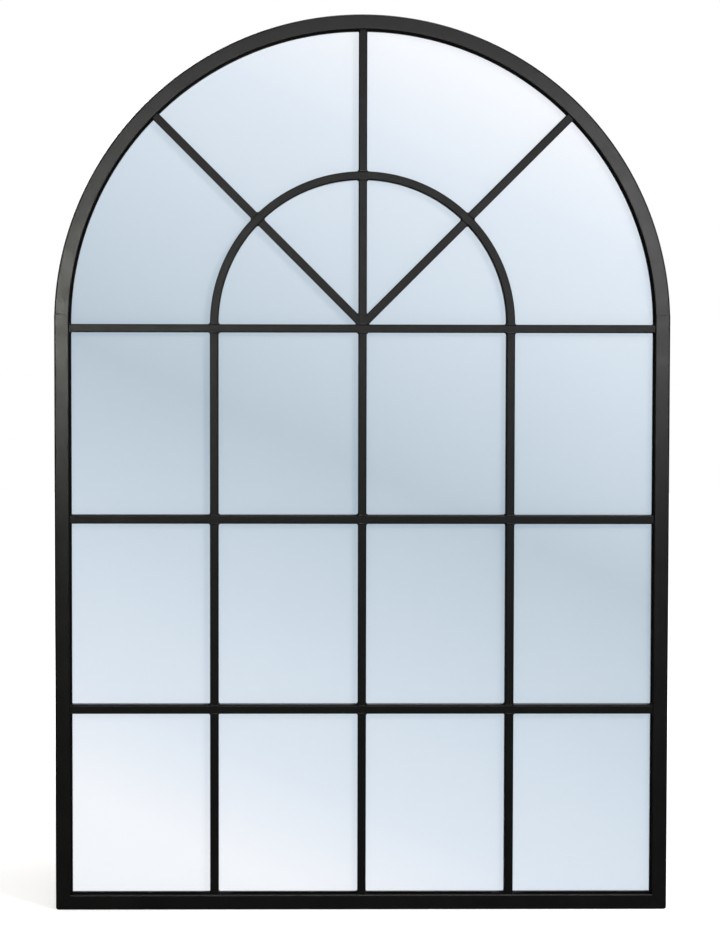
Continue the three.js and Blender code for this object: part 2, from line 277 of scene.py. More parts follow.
def pressedHardboard():
    # Oil-tempered hardboard: warm brown, with short fibres pressed flat every way and darker flecks,
    # drawn about twice as coarse as life so that they still show.
    board, tree, shader, place = startMaterial("tempered_hardboard")
    swirl = addNode(tree, "ShaderNodeTexNoise", {"Vector": place, "Scale": 0.5 / hardboard["fleck"],
                                                 "Detail": 1.0})
    bent = addNode(tree, "ShaderNodeVectorMath", {0: swirl.outputs["Color"], 1: (0.5, 0.5, 0.5)},
                   operation="SUBTRACT")
    reach = (hardboard["swirl"], 0.0, hardboard["swirl"])
    moved = addNode(tree, "ShaderNodeVectorMath", {0: bent.outputs[0], 1: reach, 2: place},
                    operation="MULTIPLY_ADD")
    strands = []
    for lean in (0.5, 2.1):  # two lays of fibre, each drawn out along its own way
        lay = addNode(tree, "ShaderNodeMapping", {"Vector": moved.outputs[0], "Rotation": (0, lean, 0),
                                                  "Scale": (0.22, 1.0, 1.0)})
        strands.append(addNode(tree, "ShaderNodeTexNoise",
                               {"Vector": lay.outputs[0], "Scale": 1 / hardboard["fibre"],
                                "Detail": 2.0, "Roughness": 0.65}).outputs["Fac"])
    fibre = addNode(tree, "ShaderNodeMath", {0: strands[0], 1: strands[1]}, operation="ADD")
    fine = addNode(tree, "ShaderNodeMapRange", {"Value": fibre.outputs[0], "From Min": 0.75,
                                                "From Max": 1.25})
    patch = addNode(tree, "ShaderNodeTexNoise", {"Vector": place, "Scale": 1 / hardboard["patch"],
                                                 "Detail": 4.0, "Roughness": 0.6})
    tint = addNode(tree, "ShaderNodeMix", {0: fine.outputs[0], 6: colour(hardboard["dark"]),
                                           7: colour(hardboard["pale"])}, data_type="RGBA")
    even = addNode(tree, "ShaderNodeMapRange", {"Value": patch.outputs["Fac"], "From Min": 0.3,
                                                "From Max": 0.7, "To Min": 0.45, "To Max": 0.15})
    blend = addNode(tree, "ShaderNodeMix", {0: even.outputs[0], 6: tint.outputs[2],
                                            7: colour(hardboard["mid"])}, data_type="RGBA")
    shade = addNode(tree, "ShaderNodeMapRange", {"Value": patch.outputs["Fac"], "From Min": 0.3,
                                                 "From Max": 0.7, "To Min": 0.93, "To Max": 1.08})
    toned = addNode(tree, "ShaderNodeHueSaturation", {"Color": blend.outputs[2],
                                                      "Value": shade.outputs[0]})
    fleck = addNode(tree, "ShaderNodeTexVoronoi", {"Vector": moved.outputs[0],
                                                   "Scale": 0.5 / hardboard["fleck"]})
    speck = addNode(tree, "ShaderNodeMapRange", {"Value": fleck.outputs["Distance"], "From Min": 0.06,
                                                 "From Max": 0.2, "To Min": 0.7, "To Max": 0.0})
    flecked = addNode(tree, "ShaderNodeMix", {0: speck.outputs[0], 6: toned.outputs[0],
                                              7: colour(hardboard["dark"])}, data_type="RGBA")
    tree.links.new(flecked.outputs[2], shader.inputs["Base Color"])
    rough = addNode(tree, "ShaderNodeMapRange", {"Value": fine.outputs[0], "To Min": 0.5,
                                                 "To Max": 0.75})
    tree.links.new(rough.outputs["Result"], shader.inputs["Roughness"])
    bump = addNode(tree, "ShaderNodeBump", {"Strength": 0.35, "Distance": hardboard["depth"],
                                            "Height": fine.outputs[0]})
    tree.links.new(bump.outputs["Normal"], shader.inputs["Normal"])
    return board


rubber = {"black": "#111212", "bloom": "#242526", "grain": 0.7 * mm, "depth": 0.05 * mm}


def mouldedRubber():
    # Moulded rubber: matt black with a faint grey bloom in patches.
    material, tree, shader, place = startMaterial("moulded_black_rubber")
    bloom = addNode(tree, "ShaderNodeTexNoise", {"Vector": place, "Scale": 0.15 / rubber["grain"],
                                                 "Detail": 4.0})
    grain = addNode(tree, "ShaderNodeTexNoise", {"Vector": place, "Scale": 1 / rubber["grain"],
                                                 "Detail": 2.0})
    tint = addNode(tree, "ShaderNodeMix", {0: bloom.outputs["Fac"], 6: colour(rubber["black"]),
                                           7: colour(rubber["bloom"])}, data_type="RGBA")
    tree.links.new(tint.outputs[2], shader.inputs["Base Color"])
    rough = addNode(tree, "ShaderNodeMapRange", {"Value": bloom.outputs["Fac"], "To Min": 0.62,
                                                 "To Max": 0.85})
    tree.links.new(rough.outputs["Result"], shader.inputs["Roughness"])
    bump = addNode(tree, "ShaderNodeBump", {"Strength": 0.2, "Distance": rubber["depth"],
                                            "Height": grain.outputs["Fac"]})
    tree.links.new(bump.outputs["Normal"], shader.inputs["Normal"])
    return material


coatSatin = powderCoated("satin_black_powder_coat", powderCoat["tubeRough"], powderCoat["tubeGloss"])
coatMatt = powderCoated("matt_black_powder_coat", powderCoat["barRough"], powderCoat["barGloss"])
glassClear = clearGlass()
silverBack = mirrorSilver()
edgeSealer = sealedEdge()
zincBright = brightZinc()
boardBrown = pressedHardboard()
rubberBlack = mouldedRubber()
print("finishes ready")


def roundedLoop(width, depth, radius, turnSteps=6, ease=0.25 * mm):
    # A rounded rectangle; a point just past each arc keeps the flats flat in smooth shading.
    loop = []
    for signX, signY, first in ((1, 1, 0), (-1, 1, 90), (-1, -1, 180), (1, -1, 270)):
        centreX, centreY = signX * (width / 2 - radius), signY * (depth / 2 - radius)
        arc = []
        for step in range(turnSteps + 1):
            angle = math.radians(first + 90 * step / turnSteps)
            arc.append((centreX + radius * math.cos(angle), centreY + radius * math.sin(angle)))
        start = math.radians(first)
        back = (arc[0][0] + ease * math.sin(start), arc[0][1] - ease * math.cos(start))
        end = math.radians(first + 90)
        ahead = (arc[-1][0] - ease * math.sin(end), arc[-1][1] + ease * math.cos(end))
        loop += [back, *arc, ahead]
    return loop


def circleLoop(radius, steps):
    return [(radius * math.cos(2 * math.pi * i / steps), radius * math.sin(2 * math.pi * i / steps))
            for i in range(steps)]


def ringAt(loop, centre, across, out):  # a loop set in space; the two ways may be sheared or scaled
    return [centre + across * a + out * b for a, b in loop]


def skinRings(build, rings):  # one closed skin through rings of equal count
    made = [[build.verts.new(point) for point in ring] for ring in rings]
    count = len(made[0])
    for near, far in zip(made, made[1:]):
        for i in range(count):
            build.faces.new((near[i], near[(i + 1) % count], far[(i + 1) % count], far[i]))
    first = build.faces.new(made[0])
    last = build.faces.new(made[-1])
    return first, last


def swept(loop, stations):  # a skin that carries a loop through (centre, across, out) stations
    build = bmesh.new()
    skinRings(build, [ringAt(loop, *station) for station in stations])
    return build


def cutOff(build, point, normal):  # takes away what lies past a plane and closes the cut
    geometry = build.verts[:] + build.edges[:] + build.faces[:]
    done = bmesh.ops.bisect_plane(build, geom=geometry, plane_co=point, plane_no=normal,
                                  clear_outer=True, dist=1e-7)
    edges = [e for e in done["geom_cut"] if isinstance(e, bmesh.types.BMEdge)]
    bmesh.ops.holes_fill(build, edges=edges)


def finishMesh(build, name, materials, sharp=22):
    bmesh.ops.remove_doubles(build, verts=build.verts[:], dist=1e-7)
    bmesh.ops.recalc_face_normals(build, faces=build.faces[:])
    mesh = bpy.data.meshes.new(name)
    build.to_mesh(mesh)
    build.free()
    mesh.shade_smooth()
    mesh.set_sharp_from_angle(angle=math.radians(sharp))
    piece = bpy.data.objects.new(name, mesh)
    scene.collection.objects.link(piece)
    for material in materials:
        mesh.materials.append(material)
    return piece


def declare(piece, body, slot, *nodes):
    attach(piece, body)
    if nodes:
        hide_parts(*nodes)


outerTube = {
    "corner": 2 * mm,
    "groundCorner": 4.5 * mm,  # the lower corners, rounded off in cuts of so many degrees
    "cutStep": 9,
    "seam": 0.25 * mm,
    "archStep": 1.5,  # degrees
}
frameLoop = roundedLoop(frameTube, railHigh.y - railLow.y, outerTube["corner"])
trim = 1 - 2 * outerTube["seam"] / frameTube  # the tube's ends, ground back a little at each seam


def eased(start, end, startAcross, endAcross, grind):
    # Four stations of a straight tube whose two ends are trimmed back by a hair.
    along = (end - start).normalized()
    return [
        (start, startAcross * trim, yWay * trim),
        (start + along * grind, startAcross, yWay),
        (end - along * grind, endAcross, yWay),
        (end, endAcross * trim, yWay * trim),
    ]


def grindCorner(build, side):  # side: -1 left, 1 right
    centre = Vector((side * (frameHalf - outerTube["groundCorner"]), 0, outerTube["groundCorner"]))
    for angle in range(outerTube["cutStep"], 90, outerTube["cutStep"]):
        normal = Vector((side * math.cos(math.radians(angle)), 0, -math.sin(math.radians(angle))))
        cutOff(build, centre + normal * outerTube["groundCorner"], normal)


def outerFrame():
    grind = outerTube["seam"]
    for name, side in (("left_stile", -1), ("right_stile", 1)):
        foot = Vector((side * frameMiddle, 0, frameTube / 2))
        head = Vector((side * frameMiddle, 0, seamHeight))
        mitre = xWay - zWay * side
        build = swept(frameLoop, eased(foot, head, mitre, xWay, grind))
        grindCorner(build, side)
        stile = finishMesh(build, name + "_tube", [coatSatin])
        declare(stile, "mirror", "frame_steel", name)

    left = Vector((-frameMiddle, 0, frameTube / 2))
    right = Vector((frameMiddle, 0, frameTube / 2))
    build = swept(frameLoop, eased(left, right, zWay + xWay, zWay - xWay, grind))
    grindCorner(build, -1)
    grindCorner(build, 1)
    declare(finishMesh(build, "bottom_rail_tube", [coatSatin]), "mirror", "frame_steel", "bottom_rail")

    rise = seamHeight - springHeight
    first = math.asin(rise / frameMiddle)
    reach = math.sqrt(frameMiddle ** 2 - rise ** 2)
    hair = grind / frameMiddle
    count = round((180 - 2 * math.degrees(first)) / outerTube["archStep"])
    stations = [(Vector((reach, 0, seamHeight)), xWay * trim / math.cos(first), yWay * trim)]
    for i in range(count + 1):
        angle = first + hair + (math.pi - 2 * first - 2 * hair) * i / count
        out = Vector((math.cos(angle), 0, math.sin(angle)))
        stations.append((zWay * springHeight + out * frameMiddle, out, yWay))
    stations.append((Vector((-reach, 0, seamHeight)), -xWay * trim / math.cos(first), yWay * trim))
    arch = finishMesh(swept(frameLoop, stations), "arch_tube_rolled", [coatSatin])
    declare(arch, "mirror", "frame_steel", "arch_tube")


outerFrame()
print("outer frame built")


glazingBar = {
    "corner": 1.3 * mm,
    "rootGap": 0.3 * mm,  # between a bar's end in the frame and what it is welded to
    "rootDepth": 0.8 * mm,  # how far the dressed end runs into it
    "hoopStep": 2.5,  # degrees
}
barLoop = roundedLoop(barTube, barTube, glazingBar["corner"])
welds = {
    "cornerRadius": 1.9 * mm,
    "dressedRadius": 1.3 * mm,  # of a corner's bead at the bar's front, where it is ground back
    "frontRadius": 1.4 * mm,
    "frontSink": 0.9 * mm,
    "frontClear": 1.0 * mm,
    "backClear": 1.2 * mm,
    "pitch": 0.55 * mm,
    "smallest": 0.94,
    "largest": 1.06,
    "seed": 7,
}
weldRuns = []  # (start, end, bead radius at the start, at the end) of every weld that shows


def straightBar(name, start, end, across):
    build = swept(barLoop, [(start, across, yWay), (end, across, yWay)])
    bar = finishMesh(build, name + "_tube", [coatMatt])
    declare(bar, "mirror", "frame_steel", name)


def cornerWeld(corner):  # a fillet in the corner beside a bar, dressed back at its front
    low = Vector((corner.x, barFront + welds["frontClear"], corner.z))
    high = Vector((corner.x, rowHigh.y - welds["backClear"], corner.z))
    weldRuns.append((low, high, welds["dressedRadius"], welds["cornerRadius"]))


def weldEnd(point, across, sides=(-1, 1), front=True):  # round a bar's end, and flat over its front
    for side in sides:
        cornerWeld(point + across * (barTube / 2) * side)
    if front:
        level = Vector((0, barFront + welds["frontSink"] - point.y, 0))
        reach = across * (barTube / 2 - welds["frontClear"])
        weldRuns.append((point + level - reach, point + level + reach, welds["frontRadius"],
                         welds["frontRadius"]))


def lattice():
    root = glazingBar["rootDepth"]
    rows = sorted(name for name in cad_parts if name.startswith("bar_row_"))
    for name in rows:
        low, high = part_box(name)
        height = (low.z + high.z) / 2
        start = Vector((-frameInside - root, barMiddle, height))
        end = Vector((frameInside + root, barMiddle, height))
        straightBar(name, start, end, zWay)
        for side in (-1, 1):
            weldEnd(Vector((side * frameInside, barMiddle, height)), zWay, front=False)
    for name in sorted(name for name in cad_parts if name.startswith("bar_r") and "_c" in name):
        low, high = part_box(name)
        middle = (low.x + high.x) / 2
        bottom = Vector((middle, barMiddle, low.z - glazingBar["rootGap"]))
        top = Vector((middle, barMiddle, high.z + glazingBar["rootGap"]))
        straightBar(name, bottom - zWay * root, top + zWay * root, xWay)
        weldEnd(top, xWay)
        onRail = bottom.z < frameTube * 1.5
        weldEnd(bottom, xWay, front=not onRail)


def fanlight():
    root = glazingBar["rootDepth"]
    hub = Vector((0, barMiddle, springHeight))
    stations = [(Vector((hoopRadius, barMiddle, springHeight - root)), xWay, yWay)]
    count = round(180 / glazingBar["hoopStep"])
    for i in range(count + 1):
        out = Vector((math.cos(math.pi * i / count), 0, math.sin(math.pi * i / count)))
        stations.append((hub + out * hoopRadius, out, yWay))
    stations.append((Vector((-hoopRadius, barMiddle, springHeight - root)), -xWay, yWay))
    hoop = finishMesh(swept(barLoop, stations), "inner_hoop_rolled", [coatMatt])
    declare(hoop, "mirror", "frame_steel", "inner_hoop")
    for side in (-1, 1):
        weldEnd(Vector((side * hoopRadius, barMiddle, springHeight)), xWay)

    hoopInside = hoopRadius - barTube / 2
    hoopOutside = hoopRadius + barTube / 2
    for i, degrees in enumerate((45, 90, 135)):
        angle = math.radians(degrees)
        out = Vector((math.cos(angle), 0, math.sin(angle)))
        across = Vector((out.z, 0, -out.x))
        leaning = degrees != 90
        start = hub + out * (0 if leaning else -root)
        end = hub + out * (hoopInside + root)
        build = swept(barLoop, [(start, across, yWay), (end, across, yWay)])
        if leaning:
            side = math.copysign(1, out.x)
            cutOff(build, hub + xWay * side * (barTube / 2 - root), -xWay * side)
            cutOff(build, hub - zWay * root, -zWay)
            crotch = hub + Vector((side * barTube / 2, 0, barTube / 2 + barTube / math.sqrt(2)))
            foot = hub + Vector((side * barTube / math.sqrt(2), 0, 0))
            cornerWeld(crotch)
            cornerWeld(foot)
        else:
            weldEnd(hub, xWay, sides=())
        name = f"spoke_inner_{i + 1}"
        declare(finishMesh(build, name + "_tube", [coatMatt]), "mirror", "frame_steel", name)
        weldEnd(hub + out * hoopInside, across)

        name = f"spoke_outer_{i + 1}"
        near = hub + out * (hoopOutside - root)
        far = hub + out * (frameInside + root)
        straightBar(name, near, far, across)
        weldEnd(hub + out * hoopOutside, across)
        weldEnd(hub + out * frameInside, across, front=False)


lattice()
fanlight()
print("bars, hoop and spokes built")


def beadTree():  # overlapping beads along edges whose ends hold the bead's radius
    inputs = (("Pitch", "Float"), ("Smallest", "Float"), ("Largest", "Float"), ("Seed", "Int"),
              ("Finish", "Material"))
    tree, given = startTree("stacked_weld_beads", inputs)
    runs = addNode(tree, "GeometryNodeMeshToCurve", {"Mesh": given.outputs["Geometry"]})
    spaced = addNode(tree, "GeometryNodeResampleCurve",
                     {"Curve": runs.outputs[0], "Length": given.outputs["Pitch"]}, mode="LENGTH")
    drop = addNode(tree, "GeometryNodeMeshUVSphere", {"Segments": 8, "Rings": 6, "Radius": 1.0})
    radius = addNode(tree, "GeometryNodeInputNamedAttribute", {"Name": "beadRadius"}, data_type="FLOAT")
    uneven = addNode(tree, "FunctionNodeRandomValue",
                     {2: given.outputs["Smallest"], 3: given.outputs["Largest"],
                      "Seed": given.outputs["Seed"]}, data_type="FLOAT")
    size = addNode(tree, "ShaderNodeMath", {0: radius.outputs["Attribute"], 1: uneven.outputs[1]},
                   operation="MULTIPLY")
    turned = addNode(tree, "FunctionNodeRandomValue",
                     {0: (0, 0, 0), 1: (math.pi, math.pi, math.pi), "Seed": given.outputs["Seed"]},
                     data_type="FLOAT_VECTOR")
    beads = addNode(tree, "GeometryNodeInstanceOnPoints",
                    {"Points": spaced.outputs[0], "Instance": drop.outputs["Mesh"],
                     "Rotation": turned.outputs[0], "Scale": size.outputs[0]})
    real = addNode(tree, "GeometryNodeRealizeInstances", {"Geometry": beads.outputs[0]})
    smooth = addNode(tree, "GeometryNodeSetShadeSmooth", {"Geometry": real.outputs[0]})
    coated = addNode(tree, "GeometryNodeSetMaterial", {"Geometry": smooth.outputs[0],
                                                       "Material": given.outputs["Finish"]})
    addNode(tree, "NodeGroupOutput", {"Geometry": coated.outputs[0]})
    return tree


def applyTree(source, tree, values, name):  # the tree's result as a plain mesh on its own object
    modifier = source.modifiers.new("nodes", "NODES")
    modifier.node_group = tree
    sockets = {item.name: item.identifier for item in tree.interface.items_tree
               if item.item_type == "SOCKET" and item.in_out == "INPUT"}
    for label, value in values.items():
        modifier[sockets[label]] = value
    bpy.context.view_layer.update()
    seen = source.evaluated_get(bpy.context.evaluated_depsgraph_get())
    mesh = bpy.data.meshes.new_from_object(seen)
    mesh.name = name
    source.modifiers.remove(modifier)
    bpy.data.objects.remove(source)
    piece = bpy.data.objects.new(name, mesh)
    scene.collection.objects.link(piece)
    return piece


def weldBeads():
    mesh = bpy.data.meshes.new("weld_runs")
    points = [point for run in weldRuns for point in run[:2]]
    mesh.from_pydata(points, [(2 * i, 2 * i + 1) for i in range(len(weldRuns))], [])
    radii = mesh.attributes.new("beadRadius", "FLOAT", "POINT")
    radii.data.foreach_set("value", [radius for run in weldRuns for radius in run[2:]])
    source = bpy.data.objects.new("weld_runs", mesh)
    scene.collection.objects.link(source)
    values = {"Pitch": welds["pitch"], "Smallest": welds["smallest"], "Largest": welds["largest"],
              "Seed": welds["seed"], "Finish": coatSatin}
    beads = applyTree(source, beadTree(), values, "weld_beads")
    declare(beads, "mirror", "frame_steel")


weldBeads()
print(f"{len(weldRuns)} weld runs laid")


glazing = {
    "seamed": 0.25 * mm,  # the glass edge, ground at both faces
    "boardEase": 0.3 * mm,
    "air": 0.1 * mm,
    "sealantSink": 0.5 * mm,
    "sealantGrip": 0.5 * mm,  # how far the sealant runs into the tubes, so that no slit shows
    "arcSteps": 120,
}


def archLoop(half, foot, inset):  # the arched outline, drawn in by an inset
    low, reach = foot + inset, half - inset
    loop = [(-reach, low), (reach, low)]
    for i in range(glazing["arcSteps"] + 1):
        angle = math.pi * i / glazing["arcSteps"]
        loop.append((reach * math.cos(angle), springHeight + reach * math.sin(angle)))
    return loop


def archedPlate(name, half, foot, front, back, ease, materials):
    levels = ((front, ease), (front + ease, 0), (back - ease, 0), (back, ease))
    rings = [[Vector((x, y, z)) for x, z in archLoop(half, foot, inset)] for y, inset in levels]
    build = bmesh.new()
    front, back = skinRings(build, rings)
    if len(materials) == 3:  # front, back and edge
        for face in build.faces:
            face.material_index = 2
        front.material_index = 0
        back.material_index = 1
    return finishMesh(build, name, materials)


def sealantRing(name, front, back):  # fills the slot between the board's edge and the tubes
    outer = archLoop(frameInside, frameTube, -glazing["sealantGrip"])
    inner = archLoop(boardHigh.x, boardLow.z, 0.0)
    middle = [((a + c) / 2, (b + d) / 2) for (a, b), (c, d) in zip(outer, inner)]
    sink = glazing["sealantSink"]
    lines = ((outer, front), (outer, back), (middle, back - sink), (inner, back), (inner, front))
    build = bmesh.new()
    made = [[build.verts.new((x, y, z)) for x, z in loop] for loop, y in lines]
    for near, far in zip(made, made[1:] + made[:1]):
        for i in range(len(near)):
            after = (i + 1) % len(near)
            build.faces.new((near[i], near[after], far[after], far[i]))
    return finishMesh(build, name, [rubberBlack])


mirrorFinishes = [glassClear, silverBack, edgeSealer]
mirror = archedPlate("mirror_plate", glassHigh.x, glassLow.z, glassLow.y + glazing["air"],
                     glassHigh.y - glazing["air"] / 2, glazing["seamed"], mirrorFinishes)
declare(mirror, "mirror", "mirror_glass", "mirror_glass")
board = archedPlate("hardboard_back", boardHigh.x, boardLow.z, boardLow.y + glazing["air"] / 2,
                    boardHigh.y - glazing["air"], glazing["boardEase"], [boardBrown])
declare(board, "mirror", "back_board", "backing_board")
sealant = sealantRing("glazing_sealant", boardLow.y + glazing["air"], boardHigh.y - 2 * glazing["air"])
declare(sealant, "mirror", "rubber")
for name in ("setting_block_left", "setting_block_right"):
    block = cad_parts[name]
    block.data.materials.clear()
    block.data.materials.append(rubberBlack)
print("glass, board and setting blocks ready")


clip = {
    "width": 12 * mm,
    "thick": 1.2 * mm,
    "tail": 7 * mm,
    "reach": 24 * mm,
    "tailRound": 2 * mm,
    "lip": 1.3 * mm,
    "lipLength": 4 * mm,
    "rib": 0.7 * mm,
    "ribWidth": 4 * mm,
    "ribFrom": 5 * mm,
    "ribTo": 17 * mm,
    "ribRamp": 2 * mm,
    "edge": 0.3 * mm,
    "acrossSteps": 16,
}


def smoothStep(low, high, value):
    t = max(0.0, min(1.0, (value - low) / (high - low)))
    return t * t * (3 - 2 * t)


def clipLoop(half, rib):  # across the clip: a thin strip whose middle is pressed up into a rib
    thick, edge, count = clip["thick"], min(clip["edge"], half * 0.8), clip["acrossSteps"]
    across = [half * (1 - 2 * i / count) for i in range(2, count - 1)]
    across = [half - edge, *across, -half + edge]
    spread = [min(1.0, abs(a) / (clip["ribWidth"] / 2)) for a in across]
    crown = [rib * (0.5 + 0.5 * math.cos(math.pi * part)) for part in spread]
    top = [(a, thick + c) for a, c in zip(across, crown)]
    under = [(a, c) for a, c in reversed(list(zip(across, crown)))]
    return top + [(-half, thick - edge), (-half, edge)] + under + [(half, edge), (half, thick - edge)]


def clipRings(place, inward):  # s runs from the tail, past the screw at 0, to the lip over the board
    along = Vector(inward)
    across = along.cross(yWay)
    half, reach, tail = clip["width"] / 2, clip["reach"], clip["tail"]
    steps = [-tail + 0.02 * mm, -tail + 0.3 * mm, -tail + 0.8 * mm, -tail + clip["tailRound"]]
    steps += [i * mm for i in range(-4, 18)]
    steps += [reach - half + half * math.sin(math.radians(a)) for a in range(5, 86, 8)]
    steps.append(reach - 0.02 * mm)
    rings = []
    for s in steps:
        wide = half
        if s > reach - half:
            wide = math.sqrt(max(half ** 2 - (s - reach + half) ** 2, 1e-8))
        elif s < -tail + clip["tailRound"]:
            r = clip["tailRound"]
            wide = half - r + math.sqrt(max(r ** 2 - (s + tail - r) ** 2, 0.0))
        rib = clip["rib"] * smoothStep(clip["ribFrom"], clip["ribFrom"] + clip["ribRamp"], s)
        rib *= 1 - smoothStep(clip["ribTo"] - clip["ribRamp"], clip["ribTo"], s)
        lift = clip["lip"] * max(0.0, (s - reach + clip["lipLength"]) / clip["lipLength"]) ** 2
        centre = place + along * s + yWay * lift
        rings.append(ringAt(clipLoop(wide, rib), centre, across, yWay))
    return rings


def springClips():
    for name in sorted(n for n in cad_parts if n.startswith("clip_") and "screw" not in n):
        low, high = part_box(name.replace("clip_", "clip_screw_"))
        place = (low + high) / 2
        place.y = frameBack
        if "left" in name:
            inward = xWay
        elif "right" in name:
            inward = -xWay
        elif "bottom" in name:
            inward = zWay
        else:
            inward = (zWay * springHeight - Vector((place.x, 0, place.z))).normalized()
        build = bmesh.new()
        skinRings(build, clipRings(place, inward))
        declare(finishMesh(build, name + "_spring", [zincBright]), "mirror", "zinc_steel", name)


springClips()
print("spring clips pressed")


panScrew = {
    "shank": 3 * mm,
    "length": 8 * mm,
    "head": 6 * mm,
    "headHigh": 1.8 * mm,
    "recessWidth": 1.0 * mm,
    "recessLong": 3.4 * mm,
    "recessDeep": 1.1 * mm,
    "sides": 40,
    "seed": 11,
}


def lathe(build, profile, steps):  # profile: (radius, y) from pole to pole, turned round the Y axis
    rings = []
    for radius, y in profile[1:-1]:
        turn = [2 * math.pi * i / steps for i in range(steps)]
        rings.append([build.verts.new((radius * math.cos(a), y, radius * math.sin(a))) for a in turn])
    for near, far in zip(rings, rings[1:]):
        for i in range(steps):
            build.faces.new((near[i], near[(i + 1) % steps], far[(i + 1) % steps], far[i]))
    for ring, (_, y) in ((rings[0], profile[0]), (rings[-1], profile[-1])):
        pole = build.verts.new((0, y, 0))
        for i in range(steps):
            build.faces.new((ring[i], ring[(i + 1) % steps], pole))


def crossCutter(name):  # the driver's cross, tapered towards its bottom
    build = bmesh.new()
    top = panScrew["headHigh"] + 0.5 * mm
    bottom = panScrew["headHigh"] - panScrew["recessDeep"]
    wide, long = panScrew["recessWidth"] / 2, panScrew["recessLong"] / 2
    outline = []
    for turn in range(4):
        angle = math.radians(90 * turn)
        c, d = math.cos(angle), math.sin(angle)
        arm = ((long, -wide), (long, wide), (wide, wide))
        outline += [(a * c - b * d, a * d + b * c) for a, b in arm]
    rings = [[Vector((x * k, y, z * k)) for x, z in outline] for y, k in ((top, 1.1), (bottom, 0.62))]
    skinRings(build, rings)
    return finishMesh(build, name, [])


def screwTemplate():
    shank, head, high = panScrew["shank"] / 2, panScrew["head"] / 2, panScrew["headHigh"]
    profile = [(0, -panScrew["length"]), (shank, -panScrew["length"] + shank), (shank, 0), (head, 0)]
    profile += [(head, high * 0.35)]
    for step in range(1, 8):
        angle = math.radians(90 * step / 8)
        radius = head * (0.55 + 0.45 * math.cos(angle))
        profile.append((radius, high * (0.35 + 0.6 * math.sin(angle))))
    profile += [(head * 0.4, high * 0.985), (0, high)]
    build = bmesh.new()
    lathe(build, profile, panScrew["sides"])
    body = finishMesh(build, "screw_pattern", [zincBright], sharp=40)
    cutter = crossCutter("screw_cross")
    cut = body.modifiers.new("cross", "BOOLEAN")
    cut.object = cutter
    cut.solver = "EXACT"
    bpy.context.view_layer.update()
    mesh = bpy.data.meshes.new_from_object(body.evaluated_get(bpy.context.evaluated_depsgraph_get()))
    body.modifiers.clear()
    body.data = mesh
    bpy.data.objects.remove(cutter)
    return body


def screwTree():  # one screw on every point, each stopped at its own turn
    inputs = (("Screw", "Object"), ("Seed", "Int"), ("Finish", "Material"))
    tree, given = startTree("driven_pan_screws", inputs)
    shape = addNode(tree, "GeometryNodeObjectInfo", {"Object": given.outputs["Screw"]})
    spin = addNode(tree, "FunctionNodeRandomValue",
                   {0: (0, 0, 0), 1: (0, math.pi / 2, 0), "Seed": given.outputs["Seed"]},
                   data_type="FLOAT_VECTOR")
    driven = addNode(tree, "GeometryNodeInstanceOnPoints",
                     {"Points": given.outputs["Geometry"], "Instance": shape.outputs["Geometry"],
                      "Rotation": spin.outputs[0]})
    real = addNode(tree, "GeometryNodeRealizeInstances", {"Geometry": driven.outputs[0]})
    plated = addNode(tree, "GeometryNodeSetMaterial", {"Geometry": real.outputs[0],
                                                       "Material": given.outputs["Finish"]})
    addNode(tree, "NodeGroupOutput", {"Geometry": plated.outputs[0]})
    return tree


def panScrews():
    names = sorted(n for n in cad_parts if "screw" in n)
    points = []
    for name in names:
        low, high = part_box(name)
        points.append(((low.x + high.x) / 2, high.y - panScrew["headHigh"], (low.z + high.z) / 2))
    mesh = bpy.data.meshes.new("screw_places")
    mesh.from_pydata(points, [], [])
    source = bpy.data.objects.new("screw_places", mesh)
    scene.collection.objects.link(source)
    pattern = screwTemplate()
    values = {"Screw": pattern, "Seed": panScrew["seed"], "Finish": zincBright}
    screws = applyTree(source, screwTree(), values, "pan_head_screws")
    bpy.data.objects.remove(pattern)
    declare(screws, "mirror", "zinc_steel", *names)


panScrews()
print("screws driven")


strap = {
    "thick": 1.2 * mm,
    "edge": 0.3 * mm,
    "tailTurn": (2, 10, 20, 32, 46, 60, 75, 90),  # degrees round the rounded tail
    "curlEnd": -110,
    "curlSteps": 40,
}
ring = {
    "bend": 3 * mm,
    "start": 1 * mm,
    "gap": 0.3 * mm,
    "wireSides": 20,
    "bendSteps": 8,
    "bowSteps": 40,
}


def strapHanger(name):
    low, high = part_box(name)
    middle = (low.x + high.x) / 2
    half, thick = (high.x - low.x) / 2, strap["thick"]
    eyeOut = (high.y - low.y) / 2
    eye = Vector((middle, low.y + eyeOut, high.z - eyeOut))
    loop = roundedLoop(2 * half, thick, strap["edge"], 3, 0.1 * mm)
    stations = []
    for angle in strap["tailTurn"]:
        narrow = math.sin(math.radians(angle))
        height = low.z + half * (1 - math.cos(math.radians(angle)))
        centre = Vector((middle, low.y + thick / 2, height))
        stations.append((centre, xWay * narrow, yWay))
    radius = eyeOut - thick / 2
    for step in range(strap["curlSteps"] + 1):
        angle = math.radians(180 + (strap["curlEnd"] - 180) * step / strap["curlSteps"])
        out = Vector((0, math.cos(angle), math.sin(angle)))
        stations.append((eye + out * radius, xWay, -out))
    return finishMesh(swept(loop, stations), name + "_rolled", [zincBright])


